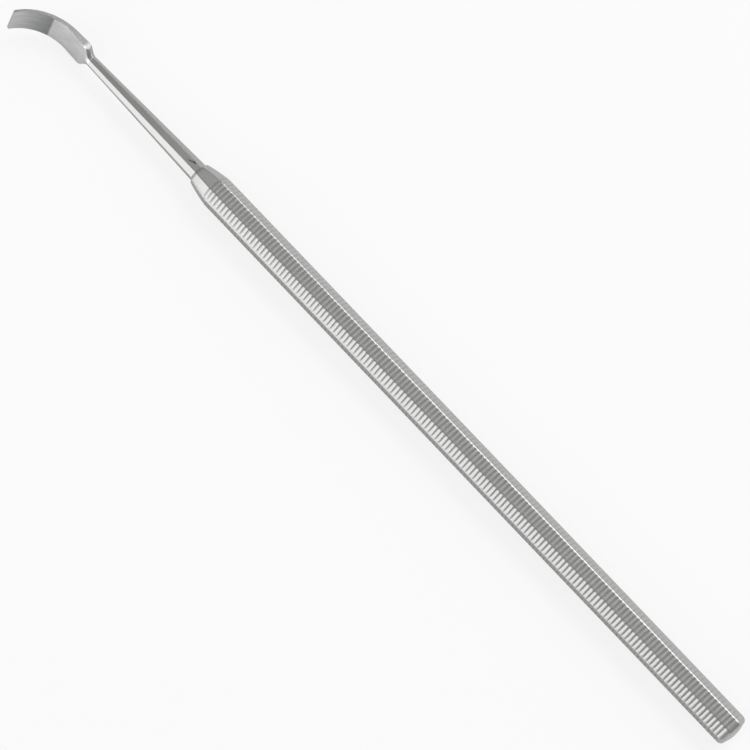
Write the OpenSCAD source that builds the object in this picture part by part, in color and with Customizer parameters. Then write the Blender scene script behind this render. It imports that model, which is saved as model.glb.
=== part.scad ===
// Dental scaler: one forged and ground bar of stainless steel.
// It lies on one flat of its eight-sided handle, butt towards -X and hook towards +X.
// The origin is on the table, under the middle land of the grip.

/* [Handle] */
// Distance across the flats of the eight-sided handle
handle_flats = 6; // [5:0.1:8]
// Spacing of the rings of grooves along the handle, one groove in each flat
groove_pitch = 0.88; // [0.8:0.02:1.2]
// Width of one groove at the surface
groove_w = 0.4; // [0.2:0.02:0.6]
// Depth of one groove
groove_depth = 0.13; // [0.05:0.01:0.25]
// Length over which each end of a groove runs out towards a corner of the handle
groove_runout = 0.35; // [0.2:0.05:0.8]
// Number of rings of grooves from the origin to the nose
grooves_fore = 76; // [40:1:85]
// Number of rings of grooves from the origin to the butt
grooves_aft = 75; // [40:1:85]

/* [Butt] */
// Plain length between the last groove and the rounded edge of the butt
butt_plain = 0.45; // [0.2:0.05:3]
// Radius of the rounded edge of the butt
butt_round = 1; // [0.3:0.1:2]
// Rise of the domed end face
butt_dome = 0.35; // [0.1:0.05:1.5]

/* [Nose] */
// Length of the nose, from full handle to shank
nose_len = 5.1; // [3:0.1:12]
// Bulge of the nose outside a straight taper
nose_bulge = 0.08; // [0.02:0.02:0.5]
// Height and length of the sloping shoulder where the nose meets the shank
nose_shoulder = 0.35; // [0.1:0.05:0.6]
// Length of the nose that the last grooves run onto
nose_grooved = 1; // [0:0.1:2]

/* [Shank] */
// Length of the shank, from nose to neck
shank_len = 28.6; // [15:0.1:45]
// Distance across the flats of the shank at the nose
shank_root_flats = 3.5; // [2.5:0.1:4.5]
// Distance across the flats of the shank at the neck
shank_end_flats = 2; // [1.5:0.05:2.5]
// Length of the neck, where the shank spreads into the blade
neck_len = 2.3; // [1:0.1:6]

/* [Blade] */
// Width of the blade at the neck
blade_root_w = 4.9; // [3:0.1:7]
// Width of the blade at the cutting edge
blade_tip_w = 5.3; // [3:0.1:7]
// Thickness of the blade at the neck
blade_root_t = 1.6; // [1:0.05:2]
// Thickness of the cutting edge
blade_tip_t = 0.45; // [0.2:0.05:0.9]
// Straight length between the neck and the hook
blade_straight = 3.3; // [0.5:0.1:10]
// Radius of the hook, at the middle of the blade's thickness
hook_radius = 9.85; // [5:0.05:20]
// Angle through which the hook turns
hook_angle = 71; // [20:1:85]
// Rounding of the two corners of the cutting edge
tip_corner = 0.3; // [0.1:0.05:1]

/* [Hidden] */
// Corners and flats are 45 degrees apart
SIDES = 8;
STEP = 360 / SIDES;
// Sections along each curved stretch
BUTT_STEPS = 4;
NOSE_STEPS = 8;
NECK_STEPS = 10;
HOOK_STEPS = 22;
TIP_STEPS = 3;
// The thickness falls fastest near the neck, as a hollow-ground blade's does
GRIND_POWER = 1.5;

handle_half = handle_flats / 2;
butt_x = -((grooves_aft - 0.5) * groove_pitch + groove_w / 2 + butt_plain + butt_round + butt_dome);
grip_end_x = (grooves_fore - 0.5) * groove_pitch + groove_w / 2;
nose_x = grip_end_x - nose_grooved;
shank_x = nose_x + nose_len;
shoulder_x = shank_x - nose_shoulder;
neck_x = shank_x + shank_len;
blade_x = neck_x + neck_len;
hook_x = blade_x + blade_straight;
blade_len = blade_straight + hook_radius * hook_angle * PI / 180;

function mix(a, b, f) = a + (b - a) * f;
function ease(f) = f * f * (3 - 2 * f);

// Points of a section are [along the bend, across the blade]: eight corners, or a ring of groove lines
function octagon(half) = [for (k = [0:SIDES - 1]) half / cos(STEP / 2) * [cos(STEP * k), sin(STEP * k)]];
function strip(t, w) = [for (k = [0:SIDES - 1]) [sign(cos(STEP * k)) * t / 2, sign(sin(STEP * k)) * w / 2]];

// A station is [x of its centre, offset of its centre along the bend, lean, section]
function straight(x, section) = [x, 0, 0, section];

// A ring of groove lines: the bottom line of the groove in each flat, as its two ends
function groove_lines(half) = [for (k = [0:SIDES - 1], side = [-1, 1])
    let (a = STEP * (k + 0.5))
    (half - groove_depth) * [cos(a), sin(a)]
        + side * (half * tan(STEP / 2) - groove_runout) * [-sin(a), cos(a)]];

// Half the distance across the flats of handle and nose at x
function nose_half(f) =
    mix(handle_half, shank_root_flats / 2 + nose_shoulder, f) + nose_bulge * 4 * f * (1 - f);
function handle_half_at(x) = x < nose_x ? handle_half : nose_half((x - nose_x) / (shoulder_x - nose_x));

function butt_stations() = concat(
    [for (i = [1:BUTT_STEPS])
        let (f = i / (BUTT_STEPS + 1))
        straight(butt_x + butt_dome * f * f, octagon((handle_half - butt_round) * f))],
    [for (i = [0:BUTT_STEPS])
        let (a = 90 * i / BUTT_STEPS)
        straight(butt_x + butt_dome + butt_round * (1 - cos(a)),
            octagon(handle_half - butt_round * (1 - sin(a))))]);

function groove_stations() = [for (i = [-grooves_aft:grooves_fore - 1], side = [-1:1])
    let (x = (i + 0.5) * groove_pitch + side * groove_w / 2, half = handle_half_at(x))
    straight(x, side == 0 ? groove_lines(half) : octagon(half))];

function nose_stations() = concat(
    [for (i = [1:NOSE_STEPS])
        let (x = mix(grip_end_x, shoulder_x, i / NOSE_STEPS))
        straight(x, octagon(handle_half_at(x)))],
    [straight(shank_x, octagon(shank_root_flats / 2))]);

function neck_stations() = [for (i = [0:NECK_STEPS - 1])
    let (f = i / NECK_STEPS)
    straight(neck_x + neck_len * f,
        mix(octagon(shank_end_flats / 2), strip(blade_root_t, blade_root_w), ease(f)))];

// The blade at a length s past the neck: straight at first, then along the hook
function blade_station(s, cut = 0) =
    let (f = s / blade_len,
        a = max(0, s - blade_straight) / hook_radius * 180 / PI,
        t = mix(blade_tip_t, blade_root_t, pow(1 - f, GRIND_POWER)),
        w = mix(blade_root_w, blade_tip_w, f) - 2 * cut)
    [blade_x + min(s, blade_straight) + hook_radius * sin(a), hook_radius * (1 - cos(a)), a, strip(t, w)];

function blade_stations() = concat(
    [blade_station(0)],
    [for (i = [0:HOOK_STEPS])
        blade_station(mix(blade_straight, blade_len - tip_corner, i / HOOK_STEPS))],
    [for (i = [1:TIP_STEPS])
        let (a = 90 * i / TIP_STEPS)
        blade_station(blade_len - tip_corner * (1 - sin(a)), tip_corner * (1 - cos(a)))]);

// The points of a station in space, leaning with the hook
function placed(station) = [for (p = station[3])
    [station[0] - p[0] * sin(station[2]), station[1] + p[0] * cos(station[2]), p[1]]];

// Faces between two sections of eight points, whose first points are a and b
function skin(a, b) = [for (k = [0:SIDES - 1])
    let (next = (k + 1) % SIDES)
    each [[a + k, a + next, b + next], [a + k, b + next, b + k]]];

// Faces of a ring of grooves between sections a and b, with the bottom lines from point m on
function grooved_skin(a, m, b) = [for (k = [0:SIDES - 1])
    let (next = (k + 1) % SIDES, near = m + 2 * k, far = near + 1)
    each [
        [a + k, a + next, far], [a + k, far, near],
        [near, far, b + next], [near, b + next, b + k],
        [a + k, near, b + k], [far, a + next, b + next]]];

// A closed skin over the stations, in order along X
module loft(stations) {
    last = len(stations) - 1;
    sizes = [for (station = stations) len(station[3])];
    starts = [for (i = 0, at = 0; i <= last; at = at + sizes[i], i = i + 1) at];
    points = [for (station = stations, p = placed(station)) p];
    sides = [for (i = [0:last - 1])
        each sizes[i] > SIDES ? [] :
            sizes[i + 1] > SIDES ? grooved_skin(starts[i], starts[i + 1], starts[i + 2]) :
            skin(starts[i], starts[i + 1])];
    butt_cap = [for (k = [0:SIDES - 1]) SIDES - 1 - k];
    tip_cap = [for (k = [0:SIDES - 1]) starts[last] + k];
    polyhedron(points, concat(sides, [butt_cap, tip_cap]));
}

module scaler() {
    color("silver")
        translate([0, 0, handle_half])
        rotate([STEP / 2, 0, 0])
        loft(concat(butt_stations(), groove_stations(), nose_stations(), neck_stations(), blade_stations()));
}

scaler();
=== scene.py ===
import math

import bmesh
import bpy
from bpy.props import FloatProperty, FloatVectorProperty, IntProperty, PointerProperty
from mathutils import Matrix, Vector, geometry


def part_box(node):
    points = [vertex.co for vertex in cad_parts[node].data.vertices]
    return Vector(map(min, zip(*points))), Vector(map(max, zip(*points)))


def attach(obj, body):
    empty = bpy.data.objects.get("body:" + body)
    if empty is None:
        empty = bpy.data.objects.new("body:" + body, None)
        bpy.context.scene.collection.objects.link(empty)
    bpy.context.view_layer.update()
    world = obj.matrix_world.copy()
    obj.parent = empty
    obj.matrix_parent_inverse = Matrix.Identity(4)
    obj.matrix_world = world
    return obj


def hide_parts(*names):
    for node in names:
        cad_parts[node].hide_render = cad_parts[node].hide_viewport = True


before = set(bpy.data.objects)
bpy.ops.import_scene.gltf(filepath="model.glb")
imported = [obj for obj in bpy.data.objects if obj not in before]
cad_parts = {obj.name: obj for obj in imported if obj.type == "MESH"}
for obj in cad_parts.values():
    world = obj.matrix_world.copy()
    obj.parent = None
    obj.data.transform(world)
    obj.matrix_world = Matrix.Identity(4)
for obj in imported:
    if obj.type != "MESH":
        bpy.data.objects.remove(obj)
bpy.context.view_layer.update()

bl_info = {
    "name": "Dental Scaler",
    "version": (1, 0, 0),
    "blender": (4, 5, 0),
    "location": "3D View > Sidebar > Scaler",
    "description": "Models a one-piece dental scaler round its packed solid and lights it",
    "category": "Object",
}

MM = 0.001
NODE = "scaler"
BODY = "root"
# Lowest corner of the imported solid
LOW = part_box(NODE)[0]

# The bar is modelled straight and upright: Z runs from butt to blade, X is the way the hook bends,
# Y runs across the blade, and the origin is where the hook starts.
SIDES = 8
FLAT_STEP = 2 * math.pi / SIDES
SAME_PLACE = 0.002 * MM


def linear(hex_colour):
    """An sRGB hex colour as linear RGBA."""
    channels = [int(hex_colour[i:i + 2], 16) / 255 for i in (1, 3, 5)]
    return [c / 12.92 if c <= 0.04045 else ((c + 0.055) / 1.055) ** 2.4
            for c in channels] + [1.0]


def length(name, value, description):
    """A length property, in metres."""
    return FloatProperty(name=name, default=value, description=description, min=0.0,
                         unit="LENGTH", subtype="DISTANCE", precision=5)


def count(name, value, description):
    """A property that counts things."""
    return IntProperty(name=name, default=value, description=description, min=1)


def colour(name, hex_colour, description):
    """A colour property, from its sRGB hex value."""
    return FloatVectorProperty(name=name, default=linear(hex_colour), description=description,
                               size=4, min=0.0, max=1.0, subtype="COLOR")


class ScalerSizes(bpy.types.PropertyGroup):
    """Sizes of the bar; the handle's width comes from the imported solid."""
    handle_flats: length(
        "Handle across flats", -2 * LOW.y, "Distance across the flats of the handle")
    corner_round: length(
        "Corner rounding", 0.14 * MM, "How far the corners of the handle are rounded")
    groove_pitch: length("Groove spacing", 0.88 * MM, "Spacing of the grip grooves")
    groove_w: length("Groove width", 0.40 * MM, "Width of one groove at the surface")
    groove_depth: length("Groove depth", 0.13 * MM, "Depth of one groove")
    grooves_fore: count("Grooves ahead", 76, "Rings of grooves from the origin to the nose")
    grooves_aft: count("Grooves behind", 75, "Rings of grooves from the origin to the butt")
    groove_runout: length(
        "Groove run-out", 0.35 * MM, "Length over which a groove's ends run out at the corners")
    groove_fade: length(
        "Groove fade", 0.8 * MM, "Length over which the grooves of one flat fade out")
    groove_lip: length(
        "Groove lips", 0.03 * MM, "Rounding of the lips and the bottom of the grooves")
    butt_round: length("Butt rounding", 1.0 * MM, "Radius of the rounded edge of the butt")
    butt_dome: length("Butt dome", 0.35 * MM, "Rise of the domed end face")
    nose_len: length(
        "Nose length", 5.1 * MM, "Length of the nose, from full handle to shank")
    nose_bulge: length(
        "Nose bulge", 0.08 * MM, "Bulge of the nose outside a straight taper")
    nose_shoulder: length(
        "Nose shoulder", 0.35 * MM, "Height and length of the shoulder at the shank")
    nose_grooved: length(
        "Grooved nose", 1.0 * MM, "Length of the nose that the last groove runs onto")
    shank_len: length("Shank length", 28.6 * MM, "Length of the shank, from nose to neck")
    shank_root_flats: length(
        "Shank at nose", 3.5 * MM, "Distance across the shank's flats at the nose")
    shank_end_flats: length(
        "Shank at neck", 2.0 * MM, "Distance across the shank's flats at the neck")
    neck_len: length(
        "Neck length", 2.3 * MM, "Length over which the shank spreads into the blade")
    blade_root_w: length("Blade width at neck", 4.9 * MM, "Width of the blade at the neck")
    blade_tip_w: length(
        "Blade width at edge", 5.3 * MM, "Width of the blade at the cutting edge")
    blade_root_t: length(
        "Blade thickness at neck", 1.6 * MM, "Thickness of the blade at the neck")
    blade_tip_t: length("Edge thickness", 0.45 * MM, "Thickness of the cutting edge")
    blade_edge: length(
        "Blade edge rounding", 0.09 * MM, "Rounding of the four long edges of the blade")
    blade_straight: length(
        "Straight blade", 3.3 * MM, "Straight length between neck and hook")
    hook_radius: length("Hook radius", 9.85 * MM, "Radius of the hook at mid thickness")
    hook_angle: FloatProperty(
        name="Hook angle", default=math.radians(71), unit="ROTATION", subtype="ANGLE",
        description="Angle through which the hook turns")
    tip_corner: length(
        "Tip corners", 0.3 * MM, "Rounding of the two corners of the cutting edge")


class ScalerLooks(bpy.types.PropertyGroup):
    """Colours of the steel and of the stage."""
    grip_steel: colour(
        "Grip steel", "#C1C1C0", "Satin steel of the grooved handle and the nose")
    # Darker steel at the bottom of the grooves is painted shade in them
    groove_shade_steel: colour("Groove steel", "#A2A2A1", "Duller steel at the bottom of the grooves")
    shank_steel: colour("Shank steel", "#B9B9B8", "Polished steel of the shank")
    blade_steel: colour(
        "Blade steel", "#BEBFBE", "Finely ground steel of the blade's back and edges")
    face_steel: colour("Face steel", "#DADBDA", "Smooth steel of the blade's inner face")
    # The hook's dark colour is a painted dark reflection, which fades into the tip colour towards
    # the cutting edge
    hook_dark_reflection: colour(
        "Hook steel", "#999A9B", "Brushed steel where the hollow of the hook begins")
    tip_steel: colour("Tip steel", "#E0E1E0", "Brushed steel at the cutting edge")
    floor: colour("Floor", "#FBFBFB", "Plain pale floor")
    room: colour("Room light", "#A4A4A4", "Even light of the room")


# Editing helpers

def start_mesh(add_primitive, name, **settings):
    """Adds a primitive with nothing else selected and enters edit mode on it."""
    bpy.ops.object.select_all(action="DESELECT")
    add_primitive(**settings)
    piece = bpy.context.object
    piece.name = piece.data.name = name
    bpy.ops.object.mode_set(mode="EDIT")
    return piece


def pick(piece, kind, wanted):
    """Selects the VERTs, EDGEs or FACEs of a mesh in edit mode for which wanted(item) holds."""
    bpy.ops.mesh.select_mode(type=kind)
    bpy.ops.mesh.select_all(action="DESELECT")
    mesh = bmesh.from_edit_mesh(piece.data)
    for item in {"VERT": mesh.verts, "EDGE": mesh.edges, "FACE": mesh.faces}[kind]:
        if wanted(item):
            item.select_set(True)
    mesh.select_flush_mode()
    bmesh.update_edit_mesh(piece.data)


def pick_ring(piece, z):
    """Selects the ring of vertices at the height z."""
    pick(piece, "VERT", lambda vert: abs(vert.co.z - z) < SAME_PLACE)


def scale_ring(z, along_bend, across):
    """Scales the selected ring about the bar's axis."""
    bpy.ops.transform.resize(value=(along_bend, across, 1.0), center_override=(0.0, 0.0, z))


def grow(stations):
    """Extrudes the selected ring through stations of (z, size along the bend, size across)."""
    (z, bend, across), *rest = stations
    for next_z, next_bend, next_across in rest:
        bpy.ops.mesh.extrude_region_move(
            TRANSFORM_OT_translate={"value": (0.0, 0.0, next_z - z)})
        scale_ring(next_z, next_bend / bend, next_across / across)
        z, bend, across = next_z, next_bend, next_across


def octagonal(profile):
    """Stations of an eight-sided stretch, from (z, half across flats)."""
    return [(z, half, half) for z, half in profile]


def mix(a, b, f):
    """The value a share f of the way from a to b."""
    return a + (b - a) * f


def corner_out(k):
    """The way that corner k faces, numbered from the way of the bend towards +Y."""
    turn = FLAT_STEP * k
    return Vector((math.cos(turn), math.sin(turn), 0.0))


def flat_out(k):
    """The way that flat k faces, between corners k and k + 1."""
    return corner_out(k + 0.5)


def flat_along(k):
    """The way along flat k to the next one."""
    out = flat_out(k)
    return Vector((-out.y, out.x, 0.0))


def apply_modifier(piece, kind, name, **settings):
    """Adds a modifier and applies it at once."""
    modifier = piece.modifiers.new(name, kind)
    for key, value in settings.items():
        setattr(modifier, key, value)
    bpy.context.view_layer.objects.active = piece
    bpy.ops.object.modifier_apply(modifier=modifier.name)


# Shape of the bar

# The grooves run through this corner, and fade out early at the far side of the flat before it
CUT_CORNER = 1
FADING_FLAT = CUT_CORNER - 1
# A rounded corner lies this far below its flats, and a groove is deeper
CORNER_DEPTH = 0.03 * MM
# Sections along each curved stretch
BUTT_STEPS = 5
NOSE_STEPS = 10
NECK_CUTS = 12
BLADE_STEPS = 36
TIP_STEPS = 3
ROUND_SEGMENTS = 2
# The blade's ring of vertices matches the handle's: two flats and a rounded corner to each side
SIDE_CUTS = 2 * (ROUND_SEGMENTS + 3) - ROUND_SEGMENTS - 1
# A ring this far from a crease keeps it crisp
CREASE = 0.06 * MM
# The blade's thickness falls fastest near the neck
GRIND_POWER = 1.5
# The inner face of neck and blade turns towards the bend at least this much, as a share of 1
INNER_FACING = 0.8
# Edges sharper than this stay crisp, and large faces keep flat shading by this weight
CRISP_ANGLE = math.radians(35)
FACE_WEIGHT = 50


class Plan:
    """Heights of the straight bar, and sizes of its flats, worked out from the sizes."""

    def __init__(self, s):
        self.sizes = s
        self.half = s.handle_flats / 2
        self.half_flat = self.half * math.tan(FLAT_STEP / 2)
        origin_to_nose = ((s.grooves_fore - 0.5) * s.groove_pitch + s.groove_w / 2
                          - s.nose_grooved)
        self.hook_x = (origin_to_nose + s.nose_len + s.shank_len + s.neck_len
                       + s.blade_straight)
        self.grip_low = -s.grooves_aft * s.groove_pitch - self.hook_x
        self.grip_high = s.grooves_fore * s.groove_pitch - self.hook_x
        self.nose = origin_to_nose - self.hook_x
        self.shank = self.nose + s.nose_len
        self.shoulder = self.shank - s.nose_shoulder
        self.neck = self.shank + s.shank_len
        self.blade = self.neck + s.neck_len
        self.hook_len = s.hook_radius * s.hook_angle
        self.butt = LOW.x - self.hook_x

    def nose_half(self, z):
        """Half the distance across the flats at the height z of handle or nose."""
        s = self.sizes
        f = max(0.0, (z - self.nose) / (self.shoulder - self.nose))
        straight = mix(self.half, s.shank_root_flats / 2 + s.nose_shoulder, f)
        return straight + s.nose_bulge * 4 * f * (1 - f)

    def rounded_corner(self):
        """How far from the axis the rounding of a handle's corner starts, towards the corner."""
        return (self.half * math.cos(FLAT_STEP / 2)
                + (self.half_flat - self.sizes.corner_round) * math.sin(FLAT_STEP / 2))


def model_grip(plan):
    """One pitch of the grip, with a groove pressed into each flat, repeated along the handle."""
    s = plan.sizes
    pitch = s.groove_pitch
    grip = start_mesh(
        bpy.ops.mesh.primitive_cylinder_add, "scaler_bar", vertices=SIDES,
        radius=plan.half / math.cos(FLAT_STEP / 2), depth=pitch, end_fill_type="NOTHING",
        location=(0.0, 0.0, 0.0))
    pick(grip, "EDGE", lambda edge: abs(edge.verts[0].co.z - edge.verts[1].co.z) > pitch / 2)
    bpy.ops.mesh.bevel(offset=s.corner_round, segments=ROUND_SEGMENTS, affect="EDGES")
    pick(grip, "FACE", lambda face: face.calc_area() > pitch * plan.half_flat)
    bpy.ops.mesh.inset(thickness=s.groove_runout - s.corner_round, use_boundary=False)
    widen_fade(grip, plan)
    press_grooves(grip, plan)
    bpy.ops.object.mode_set(mode="OBJECT")
    grip.location.z = plan.grip_low + pitch / 2
    bpy.ops.object.transform_apply(location=True, rotation=True, scale=True)
    apply_modifier(grip, "ARRAY", "grooves", count=s.grooves_aft + s.grooves_fore,
                   use_relative_offset=False, use_constant_offset=True,
                   constant_offset_displace=(0.0, 0.0, pitch),
                   use_merge_vertices=True, merge_threshold=SAME_PLACE)
    return grip


def widen_fade(grip, plan):
    """Lets the grooves of one flat fade out early at its far side."""
    s = plan.sizes
    out, along = flat_out(FADING_FLAT), flat_along(FADING_FLAT)
    pick(grip, "VERT", lambda vert: vert.co.dot(out) > plan.half - SAME_PLACE
         and abs(vert.co.dot(along) + plan.half_flat - s.groove_runout) < SAME_PLACE)
    bpy.ops.transform.translate(value=(s.groove_fade - s.groove_runout) * along)


def press_grooves(grip, plan):
    """Cuts rings across one pitch of the grip and presses them into a groove."""
    s = plan.sizes
    lip, half_w = s.groove_lip, s.groove_w / 2
    slope = s.groove_depth / half_w
    profile = [(half_w + lip, 0.0), (half_w - lip, lip * slope),
               (lip, s.groove_depth - lip * slope)]
    rings = [(side * z, depth) for z, depth in profile for side in (-1, 1)]
    for z, _ in rings:
        bpy.ops.mesh.select_all(action="SELECT")
        bpy.ops.mesh.bisect(plane_co=(0.0, 0.0, z), plane_no=(0.0, 0.0, 1.0),
                            threshold=SAME_PLACE)
    for z, depth in rings:
        press_ring(grip, plan, z, depth)


def press_ring(grip, plan, z, depth):
    """Presses the middle of each flat, and the one cut corner, in by the depth at z."""
    middle = plan.half_flat - plan.sizes.groove_runout + SAME_PLACE
    for k in range(SIDES):
        out, along = flat_out(k), flat_along(k)
        pick(grip, "VERT", lambda vert: abs(vert.co.z - z) < SAME_PLACE
             and vert.co.dot(out) > 0 and abs(vert.co.dot(along)) < middle)
        bpy.ops.transform.translate(value=-depth * out)
    out = corner_out(CUT_CORNER)
    reach = plan.rounded_corner() - SAME_PLACE
    pick(grip, "VERT", lambda vert: abs(vert.co.z - z) < SAME_PLACE and vert.co.dot(out) > reach)
    bpy.ops.transform.translate(value=-depth / math.cos(FLAT_STEP / 2) * out)


def taper_last_grooves(grip, plan):
    """Scales the rings of the grip that lie on the nose."""
    heights = sorted({round(vert.co.z / SAME_PLACE) for vert in grip.data.vertices
                      if vert.co.z > plan.nose})
    bpy.ops.object.mode_set(mode="EDIT")
    for height in heights:
        z = height * SAME_PLACE
        pick_ring(grip, z)
        k = plan.nose_half(z) / plan.half
        scale_ring(z, k, k)


def grow_butt(grip, plan):
    """The plain end, its rounded edge and the domed end face."""
    s = plan.sizes
    flat_half = plan.half - s.butt_round
    turns = [math.pi / 2 * i / BUTT_STEPS for i in range(BUTT_STEPS, -1, -1)]
    edge = [(plan.butt + s.butt_dome + s.butt_round * (1 - math.cos(a)),
             flat_half + s.butt_round * math.sin(a)) for a in turns]
    dome = [(plan.butt + s.butt_dome * f * f, flat_half * f)
            for f in (i / (BUTT_STEPS + 1) for i in range(BUTT_STEPS, 0, -1))]
    pick_ring(grip, plan.grip_low)
    grow(octagonal([(plan.grip_low, plan.half)] + edge + dome))
    bpy.ops.mesh.edge_face_add()


def grow_nose_and_shank(grip, plan):
    """The convex nose, its sloping shoulder and the tapering shank."""
    s = plan.sizes
    root, end = s.shank_root_flats / 2, s.shank_end_flats / 2
    nose = [(z, plan.nose_half(z)) for z in
            (mix(plan.grip_high, plan.shoulder, i / NOSE_STEPS) for i in range(NOSE_STEPS + 1))]
    shank = [(plan.shank - CREASE, root + CREASE), (plan.shank, root),
             (plan.shank + CREASE, mix(root, end, CREASE / s.shank_len)),
             (plan.neck - CREASE, mix(end, root, CREASE / s.shank_len)), (plan.neck, end)]
    pick_ring(grip, plan.grip_high)
    grow(octagonal(nose + shank))
    bpy.ops.object.mode_set(mode="OBJECT")


def model_blade(plan):
    """The blade, still straight: a rounded oblong, grown to the cutting edge with its tapers."""
    s = plan.sizes
    total = s.blade_straight + plan.hook_len
    blade = start_mesh(
        bpy.ops.mesh.primitive_plane_add, "blade", size=1.0, location=(0.0, 0.0, 0.0))
    bpy.ops.transform.resize(value=(s.blade_root_t, s.blade_root_w, 1.0))
    bpy.ops.transform.translate(value=(0.0, 0.0, plan.blade))
    bpy.ops.mesh.bevel(offset=s.blade_edge, segments=ROUND_SEGMENTS, affect="VERTICES")
    pick(blade, "EDGE", lambda edge: edge.calc_length() > 2 * s.blade_edge)
    bpy.ops.mesh.subdivide(number_cuts=SIDE_CUTS)
    bpy.ops.mesh.select_all(action="SELECT")
    bpy.ops.mesh.delete(type="ONLY_FACE")
    bpy.ops.mesh.select_all(action="SELECT")

    def station(along, cut=0.0):
        f = along / total
        thick = mix(s.blade_tip_t, s.blade_root_t, (1 - f) ** GRIND_POWER)
        return plan.blade + along, thick, mix(s.blade_root_w, s.blade_tip_w, f) - 2 * cut

    stations = [station((total - s.tip_corner) * i / BLADE_STEPS)
                for i in range(BLADE_STEPS + 1)]
    for i in range(1, TIP_STEPS + 1):
        a = math.pi / 2 * i / TIP_STEPS
        stations.append(station(total - s.tip_corner * (1 - math.sin(a)),
                                s.tip_corner * (1 - math.cos(a))))
    grow(stations)
    bpy.ops.mesh.edge_face_add()
    bpy.ops.object.mode_set(mode="OBJECT")
    return blade


def join_neck(bar, blade):
    """Joins the blade to the bar and bridges the shank's eight corners to its oblong."""
    bpy.ops.object.select_all(action="DESELECT")
    blade.select_set(True)
    bar.select_set(True)
    bpy.context.view_layer.objects.active = bar
    bpy.ops.object.join()
    bpy.ops.object.mode_set(mode="EDIT")
    pick(bar, "EDGE", lambda edge: edge.is_boundary)
    bpy.ops.mesh.bridge_edge_loops(
        number_cuts=NECK_CUTS, interpolation="SURFACE", smoothness=1.0)
    bpy.ops.mesh.select_all(action="SELECT")
    bpy.ops.mesh.normals_make_consistent(inside=False)
    bpy.ops.object.mode_set(mode="OBJECT")


def remember_grain(bar, plan):
    """Keeps each vertex's place on the straight bar, and how deep it lies in a groove."""
    bar.data.attributes.new("grain", "FLOAT_VECTOR", "POINT")
    bar.data.attributes.new("groove", "FLOAT", "POINT")
    # Adding a layer can move the others, so both are fetched once they exist
    grain, groove = bar.data.attributes["grain"], bar.data.attributes["groove"]
    facing = [flat_out(k) for k in range(SIDES)]
    for vert in bar.data.vertices:
        grain.data[vert.index].vector = vert.co
        if plan.grip_low < vert.co.z < plan.grip_high:
            depth = plan.nose_half(vert.co.z) - max(vert.co.dot(out) for out in facing)
            share = (depth - CORNER_DEPTH) / (plan.sizes.groove_depth - CORNER_DEPTH)
            groove.data[vert.index].value = min(1.0, max(0.0, share))


def bend_hook(bar, plan):
    """Bends all that lies past the start of the hook."""
    heights = [vert.co.z for vert in bar.data.vertices]
    low, high = min(heights), max(heights)
    apply_modifier(bar, "SIMPLE_DEFORM", "hook", deform_method="BEND", deform_axis="Y",
                   angle=plan.sizes.hook_angle, limits=(-low / (high - low), 1.0))


def lay_down(bar, plan):
    """Lays the bar along X on the flat of its handle, with the start of the hook at its place."""
    lay = Matrix.Rotation(math.pi / 2, 4, "Y")
    roll = Matrix.Rotation(math.pi / 2 + FLAT_STEP / 2, 4, "X")
    bar.matrix_world = Matrix.Translation((plan.hook_x, 0.0, plan.half)) @ roll @ lay
    bpy.ops.object.transform_apply(location=True, rotation=True, scale=True)


def dress_faces(bar, plan, materials):
    """Gives each stretch of the bar its finish, by its place on the straight bar."""
    bar.data.materials.clear()
    for material in materials:
        bar.data.materials.append(material)
    grain = bar.data.attributes["grain"].data
    for face in bar.data.polygons:
        places = [grain[i].vector for i in face.vertices]
        z = sum(place.z for place in places) / len(places)
        faces_bend = geometry.normal(places).x > INNER_FACING
        ground = z > plan.blade or (z > plan.neck and faces_bend)
        face.material_index = (z > plan.shank) + ground + (ground and faces_bend)


def smooth_faces(bar):
    """Smooth shading that keeps the flats flat and the edges crisp."""
    bpy.ops.object.shade_smooth_by_angle(angle=CRISP_ANGLE)
    apply_modifier(bar, "WEIGHTED_NORMAL", "flat_faces", weight=FACE_WEIGHT, keep_sharp=True)


def is_closed(bar):
    """Whether each edge of the mesh lies between two faces."""
    mesh = bmesh.new()
    mesh.from_mesh(bar.data)
    closed = all(edge.is_manifold for edge in mesh.edges)
    mesh.free()
    return closed


# Finishes

# Noise keeps mostly between these, which are stretched to 0 and 1
NOISE_SPREAD = (0.3, 0.7)
GROOVE_ROUGHNESS = 0.5
FACE_ROUGHNESS = 0.22
HOLLOW_ROUGHNESS = 0.38
# The small worn nick near the nose: a blot and its tail on the top flat, each as its centre in
# millimetres, its turn in degrees and its half axes in millimetres
NICK_MARKS = [((72.2, -0.4, 4.7), 0, (0.55, 0.3, 1.0)), ((72.85, -0.1, 4.7), 17, (0.85, 0.17, 1.0))]
NICK_DARK = 0.3
# A mark is full inside this share of its oval and fades out to the rim
NICK_CORE = 0.4
# The brushed hollow and its painted dark reflection start this far past the start of the hook, over
# a border to each side, and the painted reflection fades out until the cutting edge
HOLLOW_START = 4.4 * MM
HOLLOW_END = 12.0 * MM
HOLLOW_BORDER = 0.2 * MM
# Sockets of the Mix node by number, because its names repeat: its two inputs and its output
MIX_SOCKETS = {"RGBA": (6, 7, 2), "FLOAT": (2, 3, 0)}


def add_node(tree, kind, settings=None, links=None):
    """Adds a node, sets its fields and sockets, and links its inputs."""
    node = tree.nodes.new(kind)
    for key, value in (settings or {}).items():
        if isinstance(key, int) or key in node.inputs:
            node.inputs[key].default_value = value
        else:
            setattr(node, key, value)
    for key, source in (links or {}).items():
        tree.links.new(source, node.inputs[key])
    return node


def steel(name):
    """An empty steel material: itself, its node tree and its shader."""
    material = bpy.data.materials.new(name)
    material.use_nodes = True
    tree = material.node_tree
    shader = tree.nodes["Principled BSDF"]
    shader.inputs["Metallic"].default_value = 1.0
    return material, tree, shader


def link_finish(tree, shader, base, roughness, normal):
    """Links a finish to its shader."""
    tree.links.new(base, shader.inputs["Base Color"])
    tree.links.new(roughness, shader.inputs["Roughness"])
    tree.links.new(normal, shader.inputs["Normal"])


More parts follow.
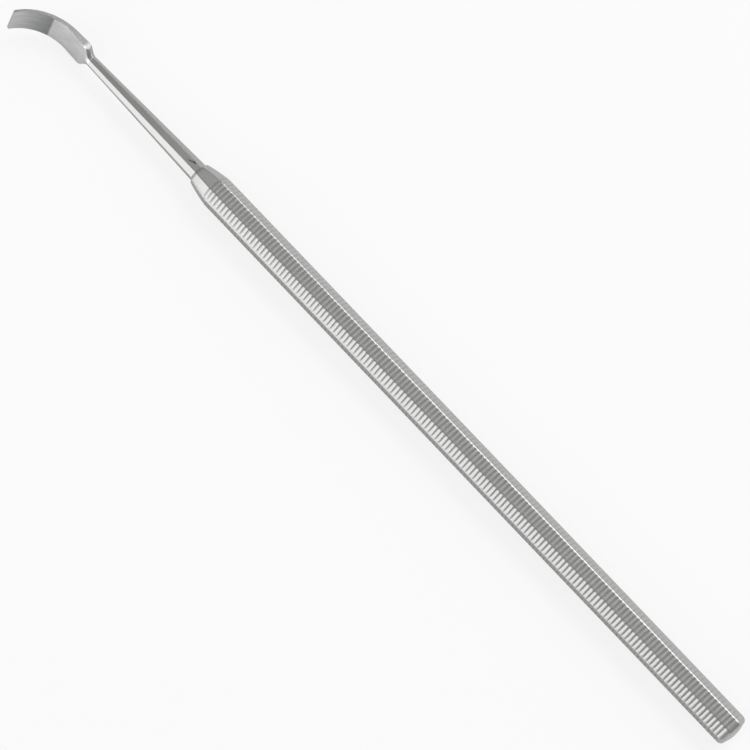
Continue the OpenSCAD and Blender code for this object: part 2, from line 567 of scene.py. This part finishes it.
def place_of(tree):
    """Where a point of the bar is, as it lies."""
    return add_node(tree, "ShaderNodeTexCoord").outputs["Object"]


def remembered(tree, name, output):
    """What the mesh remembers under this name."""
    return add_node(tree, "ShaderNodeAttribute", {"attribute_name": name}).outputs[output]


def calculate(tree, operation, first, second):
    """Two sockets added, multiplied or compared."""
    return add_node(tree, "ShaderNodeMath", {"operation": operation},
                    {0: first, 1: second}).outputs["Value"]


def lines_of(tree, place, spacing_mm, detail=2.0):
    """Noise with a grain of the given spacing in millimetres along X, Y and Z."""
    scale = tuple(1 / (mm * MM) for mm in spacing_mm)
    spread = add_node(tree, "ShaderNodeMapping", {"Scale": scale}, {"Vector": place})
    return add_node(tree, "ShaderNodeTexNoise",
                    {"Scale": 1.0, "Detail": detail, "Roughness": 0.6},
                    {"Vector": spread.outputs["Vector"]}).outputs["Fac"]


def spread_value(tree, source, low, high):
    """Maps a pattern that runs from 0 to 1 onto low to high."""
    return add_node(tree, "ShaderNodeMapRange", {"To Min": low, "To Max": high},
                    {"Value": source}).outputs["Result"]


def share_between(tree, source, zero, one):
    """0 where the source has the value zero, 1 where it has the value one, and even between."""
    return add_node(tree, "ShaderNodeMapRange", {"From Min": zero, "From Max": one},
                    {"Value": source}).outputs["Result"]


def blend(tree, share, low, high, kind="RGBA"):
    """Mixes two colours, or two floats, by a share; either may be a socket."""
    low_socket, high_socket, output = MIX_SOCKETS[kind]
    settings, links = {"data_type": kind}, {0: share}
    for socket, value in ((low_socket, low), (high_socket, high)):
        is_socket = isinstance(value, bpy.types.NodeSocket)
        (links if is_socket else settings)[socket] = value
    return add_node(tree, "ShaderNodeMix", settings, links).outputs[output]


def darker(base, share):
    """A colour of which this share is left."""
    return [channel * share for channel in base[:3]] + [1.0]


def dim_by(tree, base, pattern, dark):
    """The base colour, dimmed down to the share dark where the pattern is low."""
    return blend(tree, pattern, darker(base, dark), base)


def raise_by(tree, pattern, height_mm, strength):
    """Bump of the given height from a pattern."""
    return add_node(tree, "ShaderNodeBump", {"Strength": strength, "Distance": height_mm * MM},
                    {"Height": pattern}).outputs["Normal"]


def satin_steel(looks):
    """Stainless steel, rolled and tumbled: an even satin sheen with fine pits and blotches, and
    painted shade at the bottom of its grooves.
    """
    material, tree, shader = steel("satin_steel_grip")
    place = place_of(tree)
    # Tumbling pits are about 0.1 mm apart
    pits = lines_of(tree, place, spacing_mm=(0.12, 0.12, 0.12))
    blotches = lines_of(tree, place, spacing_mm=(2.5, 1.2, 1.2))
    # The grooves are rougher than the flats, some more than others, and their colour is
    # darkened towards their bottom as painted shade
    uneven = spread_value(
        tree, lines_of(tree, place, spacing_mm=(1.1, 1.6, 1.6)), low=0.4, high=1.0)
    dull_and_shaded = calculate(tree, "MULTIPLY", remembered(tree, "groove", "Fac"), uneven)
    flats = dim_by(tree, looks.grip_steel, blotches, dark=0.90)
    flat_roughness = spread_value(tree, blotches, low=0.26, high=0.36)
    link_finish(tree, shader, blend(tree, dull_and_shaded, flats, looks.groove_shade_steel),
                blend(tree, dull_and_shaded, flat_roughness, GROOVE_ROUGHNESS, "FLOAT"),
                raise_by(tree, pits, height_mm=0.006, strength=0.5))
    return material


def nick_mark(tree, place, centre_mm, turn, half_axes_mm):
    """1 inside an oval mark on the top flat of the shank, 0 outside."""
    oval = add_node(tree, "ShaderNodeMapping", {
        "vector_type": "TEXTURE", "Location": tuple(mm * MM for mm in centre_mm),
        "Rotation": (0.0, 0.0, math.radians(turn)),
        "Scale": tuple(mm * MM for mm in half_axes_mm)}, {"Vector": place})
    reach = add_node(tree, "ShaderNodeVectorMath", {"operation": "LENGTH"},
                     {0: oval.outputs["Vector"]}).outputs["Value"]
    return share_between(tree, reach, zero=1.0, one=NICK_CORE)


def polished_steel(looks):
    """Stainless steel, polished lengthwise by hand: nearly a mirror, with faint long lines."""
    material, tree, shader = steel("polished_steel_shank")
    place = place_of(tree)
    # Polishing lines run along the bar, drawn 0.12 mm apart so that they show
    wipes = lines_of(tree, place, spacing_mm=(6.0, 0.12, 0.12))
    plain = dim_by(
        tree, looks.shank_steel, share_between(tree, wipes, *NOISE_SPREAD), dark=0.9)
    blot, tail = (nick_mark(tree, place, *mark) for mark in NICK_MARKS)
    nick = calculate(tree, "MAXIMUM", blot, tail)
    link_finish(tree, shader, blend(tree, nick, plain, darker(looks.shank_steel, NICK_DARK)),
                spread_value(tree, wipes, low=0.16, high=0.26),
                raise_by(tree, wipes, height_mm=0.002, strength=0.4))
    return material


def ground_steel(looks):
    """Stainless steel, finely ground lengthwise: a soft streaked sheen that follows the hook."""
    material, tree, shader = steel("ground_steel_blade")
    # Grinding lines of a fine wheel, drawn 0.1 mm apart so that they show
    grain = remembered(tree, "grain", "Vector")
    lines = lines_of(tree, grain, spacing_mm=(0.10, 0.10, 4.0), detail=3.0)
    link_finish(tree, shader, dim_by(tree, looks.blade_steel, lines, dark=0.85),
                spread_value(tree, lines, low=0.20, high=0.32),
                raise_by(tree, lines, height_mm=0.004, strength=0.5))
    return material


def hollow_steel(looks):
    """Stainless steel, smooth on the blade's inner face, brushed in the hook's hollow and darkened
    there as a painted reflection.
    """
    material, tree, shader = steel("hollow_ground_steel_face")
    grain = remembered(tree, "grain", "Vector")
    height = add_node(tree, "ShaderNodeSeparateXYZ", {}, {"Vector": grain}).outputs["Z"]
    # Brushing lines of a small wheel, drawn 0.4 mm apart so that they show
    brushing = lines_of(tree, grain, spacing_mm=(0.4, 0.4, 5.0), detail=4.0)
    lines = share_between(tree, brushing, *NOISE_SPREAD)
    blotches = lines_of(tree, grain, spacing_mm=(2.0, 2.0, 2.5))
    patches = share_between(tree, blotches, *NOISE_SPREAD)
    # The hollow's darker colour is a painted dark reflection that fades out towards the cutting
    # edge; its higher roughness is its brushing
    hollow = share_between(
        tree, height, HOLLOW_START - HOLLOW_BORDER, HOLLOW_START + HOLLOW_BORDER)
    reflection_fade = share_between(tree, height, HOLLOW_START, HOLLOW_END)
    face = dim_by(tree, looks.face_steel, patches, dark=0.86)
    brushed = blend(tree, reflection_fade, dim_by(tree, looks.hook_dark_reflection, lines, dark=0.6),
                    dim_by(tree, looks.tip_steel, lines, dark=0.7))
    link_finish(tree, shader, blend(tree, hollow, face, brushed),
                blend(tree, hollow, FACE_ROUGHNESS, HOLLOW_ROUGHNESS, "FLOAT"),
                raise_by(tree, lines, height_mm=0.004, strength=0.5))
    return material


# Stage

# The camera looks down on the instrument: towards this point, from this far and this way
AIM = Vector((21.75, 2.19, 3.0)) * MM
CAMERA_DISTANCE = 623.5 * MM
CAMERA_AZIMUTH = math.radians(124.66)
CAMERA_ELEVATION = math.radians(73.3)
# The way that the picture's right side lies
CAMERA_RIGHT = Vector((-0.68144, -0.72910, 0.06367))
# Width of the sensor and focal length, in millimetres as Blender's camera takes them
SENSOR = 36.0
LENS = 168.87
# Side of the square floor, in metres
FLOOR_SIZE = 4.0
FLOOR_ROUGHNESS = 0.9
# Share of plain white in the floor as the camera sees it, and as polished steel does
BACKDROP_SHARE = 0.8
BACKDROP_IN_STEEL = 0.1
# Name, azimuth from +X towards +Y and elevation in degrees, distance from the aim and the two
# sides in metres, and radiance, where 1 is white
SOFTBOXES = [
    ("ceiling", 308, 73, 1.1, (0.24, 0.24), 0.7),
    ("side_softbox", 68, 18, 0.7, (0.74, 0.5), 1.45),
    ("side_softbox_high", 78, 58, 0.8, (0.4, 0.2), 1.9),
    ("fore_softbox", 338, 50, 0.8, (0.3, 0.3), 0.25),
    ("back_softbox", 256, 22, 0.7, (0.85, 0.4), 1.3),
    ("key_softbox", 266, 50, 0.8, (0.6, 0.28), 3.8),
]


def way(azimuth, elevation):
    """The way from the aim towards an azimuth and an elevation, in radians."""
    flat = math.cos(elevation)
    return Vector((math.cos(azimuth) * flat, math.sin(azimuth) * flat, math.sin(elevation)))


def place_camera():
    """The camera, looking down the handle from the butt's side."""
    back = way(CAMERA_AZIMUTH, CAMERA_ELEVATION)
    up = back.cross(CAMERA_RIGHT).normalized()
    right = up.cross(back)
    turn = Matrix((right, up, back)).transposed()
    data = bpy.data.cameras.new("camera")
    data.lens, data.sensor_width = LENS, SENSOR
    camera = bpy.data.objects.new("camera", data)
    camera.matrix_world = Matrix.Translation(AIM + back * CAMERA_DISTANCE) @ turn.to_4x4()
    bpy.context.scene.collection.objects.link(camera)
    bpy.context.scene.camera = camera


def softbox(name, azimuth, elevation, distance, size, radiance):
    """A soft lamp that faces the middle of the instrument."""
    back = way(math.radians(azimuth), math.radians(elevation))
    data = bpy.data.lights.new(name, "AREA")
    data.shape = "RECTANGLE"
    data.size, data.size_y = size
    data.energy = radiance * math.pi * size[0] * size[1]
    lamp = bpy.data.objects.new(name, data)
    lamp.location = AIM + back * distance
    lamp.rotation_mode = "QUATERNION"
    lamp.rotation_quaternion = (-back).to_track_quat("-Z", "Y")
    bpy.context.scene.collection.objects.link(lamp)


def lay_floor(looks):
    """A plain pale floor under the instrument."""
    bpy.ops.object.select_all(action="DESELECT")
    bpy.ops.mesh.primitive_plane_add(size=FLOOR_SIZE, location=(0.0, 0.0, 0.0))
    floor = bpy.context.object
    floor.name = "floor"
    floor.data.materials.append(pale_floor(looks))


def pale_floor(looks):
    """Matt white that the camera and polished steel see whiter still, with most shadow gone."""
    material = bpy.data.materials.new("pale_floor")
    material.use_nodes = True
    tree = material.node_tree
    shader = tree.nodes["Principled BSDF"]
    shader.inputs["Base Color"].default_value = looks.floor
    shader.inputs["Roughness"].default_value = FLOOR_ROUGHNESS
    shader.inputs["Specular IOR Level"].default_value = 0.0
    rays = add_node(tree, "ShaderNodeLightPath").outputs
    through = calculate(tree, "ADD", rays["Is Glossy Ray"], rays["Is Transmission Ray"])
    in_steel = add_node(tree, "ShaderNodeMath", {"operation": "MULTIPLY", 1: BACKDROP_IN_STEEL},
                        {0: through}).outputs["Value"]
    share = add_node(tree, "ShaderNodeMath", {"operation": "MULTIPLY_ADD", 1: BACKDROP_SHARE},
                     {0: rays["Is Camera Ray"], 2: in_steel}).outputs["Value"]
    white = add_node(tree, "ShaderNodeEmission", {"Strength": 1.0}).outputs["Emission"]
    mixed = add_node(tree, "ShaderNodeMixShader", {},
                     {0: share, 1: shader.outputs["BSDF"], 2: white}).outputs["Shader"]
    tree.links.new(mixed, tree.nodes["Material Output"].inputs["Surface"])
    return material


def light_room(looks):
    """Even light from all round."""
    world = bpy.data.worlds.new("white_room")
    world.use_nodes = True
    background = world.node_tree.nodes["Background"]
    background.inputs["Color"].default_value = looks.room
    background.inputs["Strength"].default_value = 1.0
    bpy.context.scene.world = world


# Operators

class SCALER_OT_model_bar(bpy.types.Operator):
    """Models the whole instrument as one bar and gives it its finishes"""
    bl_idname = "scaler.model_bar"
    bl_label = "Model the scaler"

    def execute(self, context):
        looks = context.scene.scaler_looks
        plan = Plan(context.scene.scaler_sizes)
        bar = model_grip(plan)
        taper_last_grooves(bar, plan)
        grow_butt(bar, plan)
        grow_nose_and_shank(bar, plan)
        join_neck(bar, model_blade(plan))
        remember_grain(bar, plan)
        bend_hook(bar, plan)
        lay_down(bar, plan)
        dress_faces(bar, plan, [satin_steel(looks), polished_steel(looks), ground_steel(looks),
                                hollow_steel(looks)])
        smooth_faces(bar)
        if not is_closed(bar):
            raise RuntimeError("The bar's mesh isn't closed")
        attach(bar, BODY)
        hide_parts(NODE)
        return {"FINISHED"}


class SCALER_OT_set_stage(bpy.types.Operator):
    """Lays the floor, hangs the lamps and places the camera"""
    bl_idname = "scaler.set_stage"
    bl_label = "Set the stage"

    def execute(self, context):
        looks = context.scene.scaler_looks
        lay_floor(looks)
        light_room(looks)
        for settings in SOFTBOXES:
            softbox(*settings)
        place_camera()
        context.scene.view_settings.view_transform = "Standard"
        return {"FINISHED"}


class SCALER_PT_panel(bpy.types.Panel):
    """Lists the steps and the sizes"""
    bl_idname = "SCALER_PT_panel"
    bl_label = "Dental Scaler"
    bl_space_type = "VIEW_3D"
    bl_region_type = "UI"
    bl_category = "Scaler"

    def draw(self, context):
        for step in (SCALER_OT_set_stage, SCALER_OT_model_bar):
            self.layout.operator(step.bl_idname)
        for group in (context.scene.scaler_sizes, context.scene.scaler_looks):
            for name in group.__annotations__:
                self.layout.prop(group, name)


CLASSES = (ScalerSizes, ScalerLooks, SCALER_OT_model_bar, SCALER_OT_set_stage, SCALER_PT_panel)


def register():
    for cls in CLASSES:
        bpy.utils.register_class(cls)
    bpy.types.Scene.scaler_sizes = PointerProperty(type=ScalerSizes)
    bpy.types.Scene.scaler_looks = PointerProperty(type=ScalerLooks)


def unregister():
    del bpy.types.Scene.scaler_looks
    del bpy.types.Scene.scaler_sizes
    for cls in reversed(CLASSES):
        bpy.utils.unregister_class(cls)


def main():
    register()
    bpy.ops.scaler.set_stage()
    bpy.ops.scaler.model_bar()


if __name__ == "__main__":
    main()
